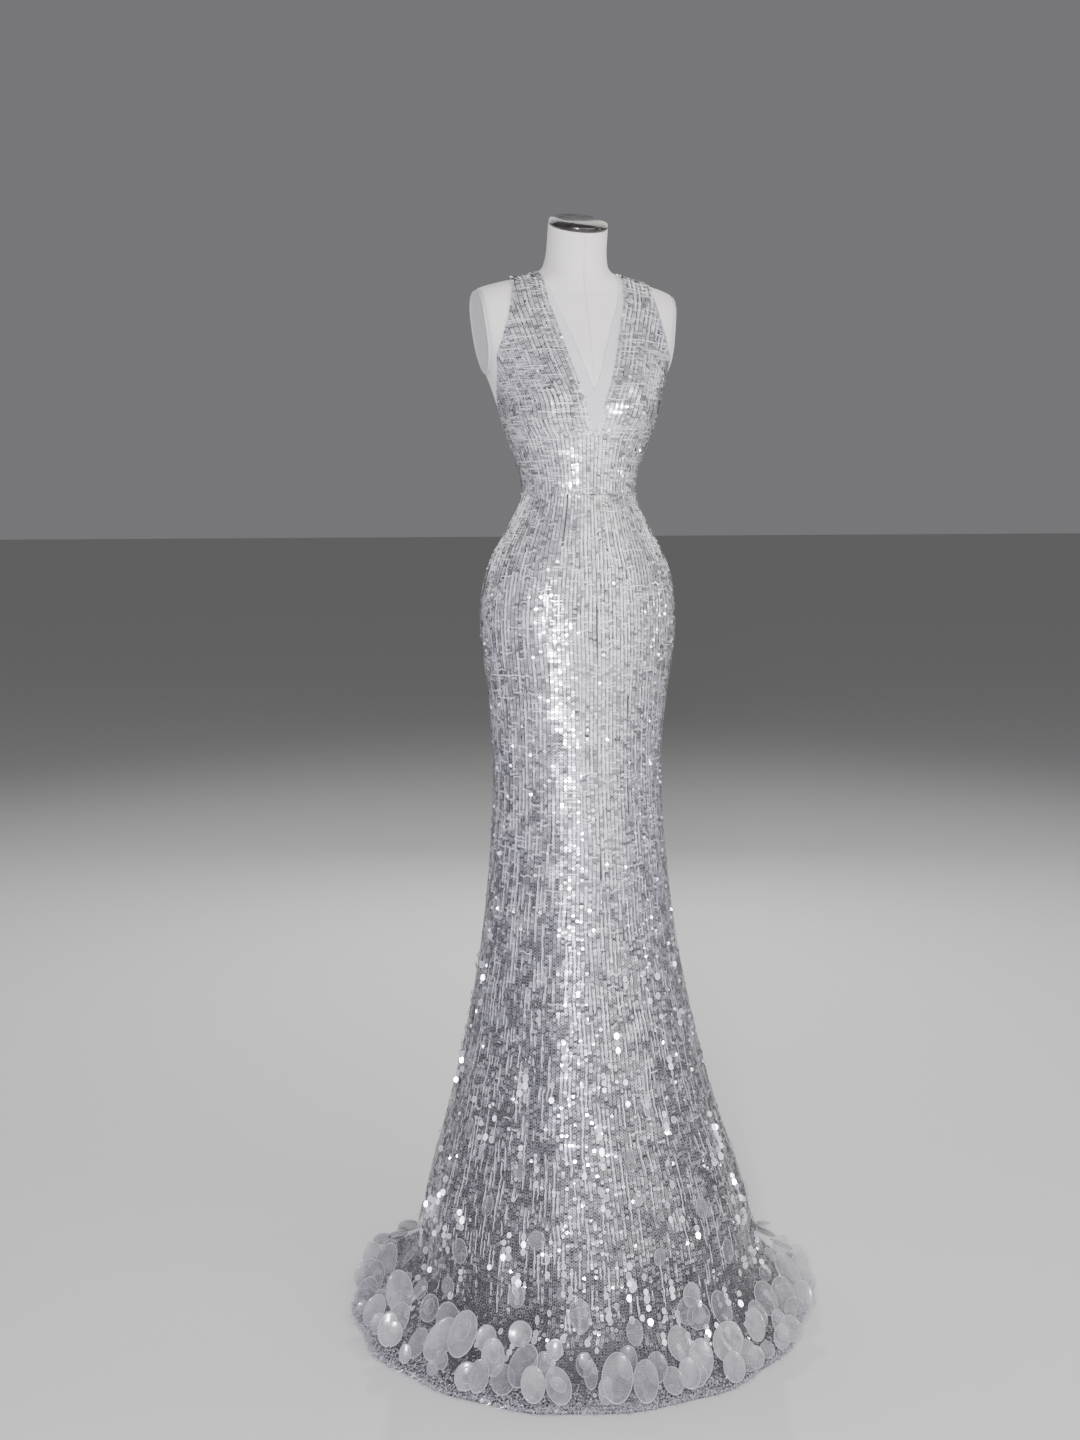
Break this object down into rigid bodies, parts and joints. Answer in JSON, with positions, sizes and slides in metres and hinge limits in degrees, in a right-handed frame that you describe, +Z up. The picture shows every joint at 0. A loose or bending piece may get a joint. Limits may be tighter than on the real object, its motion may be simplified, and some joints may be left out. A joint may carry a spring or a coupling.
{
  "type": "evening gown on dress form",
  "caption": "Floor-length sequinned evening gown with a plunging V front, sheer net inset and trumpet skirt edged with large paillettes, standing on a limbless dress form and round stand.",
  "frame": {"origin": "centre of the underside of the stand's round foot, on the floor", "axes": "+Z up along the dress form, -Y the way that the gown's front faces, +X the wearer's left"},
  "size_m": [0.7589, 0.7838, 1.8488],
  "materials": {
    "sequinned_net": "net sewn with rows of small clear silver sequins, glossy",
    "sheer_net": "fine sheer net, matt",
    "paillettes": "large oval pearly paillettes, glossy and slightly see-through",
    "form_linen": "fine off-white linen stretched smooth, matt",
    "form_cap": "black lacquered wood, glossy",
    "stand_metal": "black painted steel, satin"
  },
  "bodies": {
    "root": {"bodice_front_left": "sequinned_net", "bodice_front_right": "sequinned_net", "bodice_back_left": "sequinned_net", "bodice_back_right": "sequinned_net", "strap_back_left": "sequinned_net", "strap_back_right": "sequinned_net", "skirt_front_left": "sequinned_net", "skirt_front_right": "sequinned_net", "skirt_back_left": "sequinned_net", "skirt_back_right": "sequinned_net", "sheer_inset": "sheer_net", "form_torso": "form_linen", "form_arm_plate_left": "form_linen", "form_arm_plate_right": "form_linen", "form_neck_cap": "form_cap", "stand_base": "stand_metal", "stand_pole": "stand_metal", "stand_flange": "stand_metal", "paillette_01": "paillettes", "paillette_02": "paillettes", "paillette_03": "paillettes", "paillette_04": "paillettes", "paillette_05": "paillettes", "paillette_06": "paillettes", "paillette_07": "paillettes", "paillette_08": "paillettes", "paillette_09": "paillettes", "paillette_10": "paillettes", "paillette_11": "paillettes", "paillette_12": "paillettes", "paillette_13": "paillettes", "paillette_14": "paillettes", "paillette_15": "paillettes", "paillette_16": "paillettes", "paillette_17": "paillettes", "paillette_18": "paillettes", "paillette_19": "paillettes", "paillette_20": "paillettes", "paillette_21": "paillettes", "paillette_22": "paillettes", "paillette_23": "paillettes", "paillette_24": "paillettes", "paillette_25": "paillettes", "paillette_26": "paillettes", "paillette_27": "paillettes", "paillette_28": "paillettes", "paillette_29": "paillettes", "paillette_30": "paillettes", "paillette_31": "paillettes", "paillette_32": "paillettes", "paillette_33": "paillettes", "paillette_34": "paillettes", "paillette_35": "paillettes", "paillette_36": "paillettes", "paillette_37": "paillettes", "paillette_38": "paillettes"}
  },
  "joints": []
}
